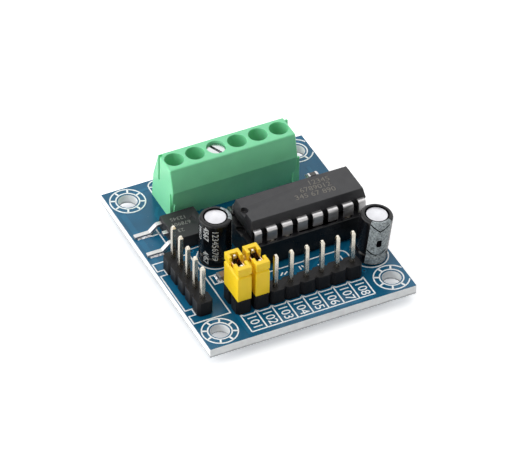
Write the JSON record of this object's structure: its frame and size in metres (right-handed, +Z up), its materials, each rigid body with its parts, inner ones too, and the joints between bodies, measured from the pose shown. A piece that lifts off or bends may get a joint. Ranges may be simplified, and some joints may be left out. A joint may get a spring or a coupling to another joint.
{
  "type": "dc motor driver module",
  "caption": "Small blue circuit board that drives dc motors, with a socketed driver chip, green screw terminal, pin headers and yellow jumper caps.",
  "frame": {"origin": "middle of the board in plan, level with the tips of the pins below it", "axes": "+Z up out of the board's top face, +Y from the control header towards the screw terminal, +X from the motor header towards the driver chip"},
  "size_m": [0.034, 0.0386, 0.0125],
  "materials": {
    "board_laminate": "satin",
    "terminal_green": "satin",
    "chip_moulding": "matte",
    "lead_tin": "satin",
    "socket_black": "satin",
    "contact_metal": "satin",
    "regulator_moulding": "matte",
    "ceramic_brown": "matte",
    "resistor_black": "satin",
    "solder": "polished",
    "screw_steel": "satin",
    "cage_metal": "satin",
    "can_aluminium": "satin",
    "sleeve_black": "gloss",
    "seal_rubber": "matte",
    "header_black": "satin",
    "pin_plating": "polished",
    "jumper_yellow": "satin"
  },
  "bodies": {
    "module": {"circuit_board": "board_laminate", "terminal_housing": "terminal_green", "chip_package": "chip_moulding", "chip_leads_front": "lead_tin", "chip_leads_rear": "lead_tin", "socket_body": "socket_black", "socket_contacts_front": "contact_metal", "socket_contacts_rear": "contact_metal", "regulator_package": "regulator_moulding", "regulator_tab": "lead_tin", "regulator_leads": "lead_tin", "front_chip": "ceramic_brown", "rear_chip": "resistor_black", "edge_chip": "resistor_black", "chip_ends": "lead_tin", "underside_solder": "solder", "surface_solder": "solder", "terminal_contact_1": "contact_metal", "terminal_contact_2": "contact_metal", "terminal_cage_3": "cage_metal", "terminal_contact_3": "contact_metal", "terminal_contact_4": "contact_metal", "terminal_contact_5": "contact_metal", "terminal_contact_6": "contact_metal", "left_capacitor_can": "can_aluminium", "left_capacitor_sleeve": "sleeve_black", "left_capacitor_seal": "seal_rubber", "left_capacitor_leads": "lead_tin", "left_enable_base": "header_black", "left_enable_pins": "pin_plating", "right_capacitor_can": "can_aluminium", "right_capacitor_sleeve": "sleeve_black", "right_capacitor_seal": "seal_rubber", "right_capacitor_leads": "lead_tin", "right_enable_base": "header_black", "right_enable_pins": "pin_plating", "motor_header_base": "header_black", "motor_header_pins": "pin_plating", "control_header_base": "header_black", "control_header_pins": "pin_plating"},
    "screw_1": {"terminal_screw_1": "screw_steel"},
    "cage_1": {"terminal_cage_1": "cage_metal"},
    "screw_2": {"terminal_screw_2": "screw_steel"},
    "cage_2": {"terminal_cage_2": "cage_metal"},
    "screw_4": {"terminal_screw_4": "screw_steel"},
    "cage_4": {"terminal_cage_4": "cage_metal"},
    "screw_5": {"terminal_screw_5": "screw_steel"},
    "cage_5": {"terminal_cage_5": "cage_metal"},
    "screw_6": {"terminal_screw_6": "screw_steel"},
    "cage_6": {"terminal_cage_6": "cage_metal"},
    "screw_3": {"terminal_screw_3": "screw_steel"},
    "left_jumper": {"left_jumper_cap": "jumper_yellow", "left_jumper_clip": "contact_metal"},
    "right_jumper": {"right_jumper_cap": "jumper_yellow", "right_jumper_clip": "contact_metal"}
  },
  "joints": [
    {"name": "cage_1_lift", "type": "slide", "parent": "module", "child": "cage_1", "axis": [0, 0, 1], "range_m": [0, 0.0011]},
    {"name": "screw_1_turn", "type": "hinge", "parent": "module", "child": "screw_1", "pos_m": [-0.00815, 0.01215, 0.0085], "axis": [0, 0, 1], "range_deg": [-990, 0]},
    {"name": "cage_2_lift", "type": "slide", "parent": "module", "child": "cage_2", "axis": [0, 0, 1], "range_m": [0, 0.0011]},
    {"name": "screw_2_turn", "type": "hinge", "parent": "module", "child": "screw_2", "pos_m": [-0.00465, 0.01215, 0.0085], "axis": [0, 0, 1], "range_deg": [-990, 0]},
    {"name": "cage_4_lift", "type": "slide", "parent": "module", "child": "cage_4", "axis": [0, 0, 1], "range_m": [0, 0.0011]},
    {"name": "screw_4_turn", "type": "hinge", "parent": "module", "child": "screw_4", "pos_m": [0.00235, 0.01215, 0.0085], "axis": [0, 0, 1], "range_deg": [-990, 0]},
    {"name": "cage_5_lift", "type": "slide", "parent": "module", "child": "cage_5", "axis": [0, 0, 1], "range_m": [0, 0.0011]},
    {"name": "screw_5_turn", "type": "hinge", "parent": "module", "child": "screw_5", "pos_m": [0.00585, 0.01215, 0.0085], "axis": [0, 0, 1], "range_deg": [-990, 0]},
    {"name": "cage_6_lift", "type": "slide", "parent": "module", "child": "cage_6", "axis": [0, 0, 1], "range_m": [0, 0.0011]},
    {"name": "screw_6_turn", "type": "hinge", "parent": "module", "child": "screw_6", "pos_m": [0.00935, 0.01215, 0.0085], "axis": [0, 0, 1], "range_deg": [-990, 0]},
    {"name": "screw_3_lower", "type": "slide", "parent": "module", "child": "screw_3", "axis": [0, 0, 1], "range_m": [-0.0021, 0]},
    {"name": "left_jumper_pull", "type": "slide", "parent": "module", "child": "left_jumper", "axis": [0, 0, 1], "range_m": [0, 0.0064]},
    {"name": "right_jumper_pull", "type": "slide", "parent": "module", "child": "right_jumper", "axis": [0, 0, 1], "range_m": [0, 0.0064]}
  ],
  "couplings": [
    {"joint": "screw_1_turn", "follows": "cage_1_lift", "rad_per_m": -15708},
    {"joint": "screw_2_turn", "follows": "cage_2_lift", "rad_per_m": -15708},
    {"joint": "screw_4_turn", "follows": "cage_4_lift", "rad_per_m": -15708},
    {"joint": "screw_5_turn", "follows": "cage_5_lift", "rad_per_m": -15708},
    {"joint": "screw_6_turn", "follows": "cage_6_lift", "rad_per_m": -15708}
  ]
}
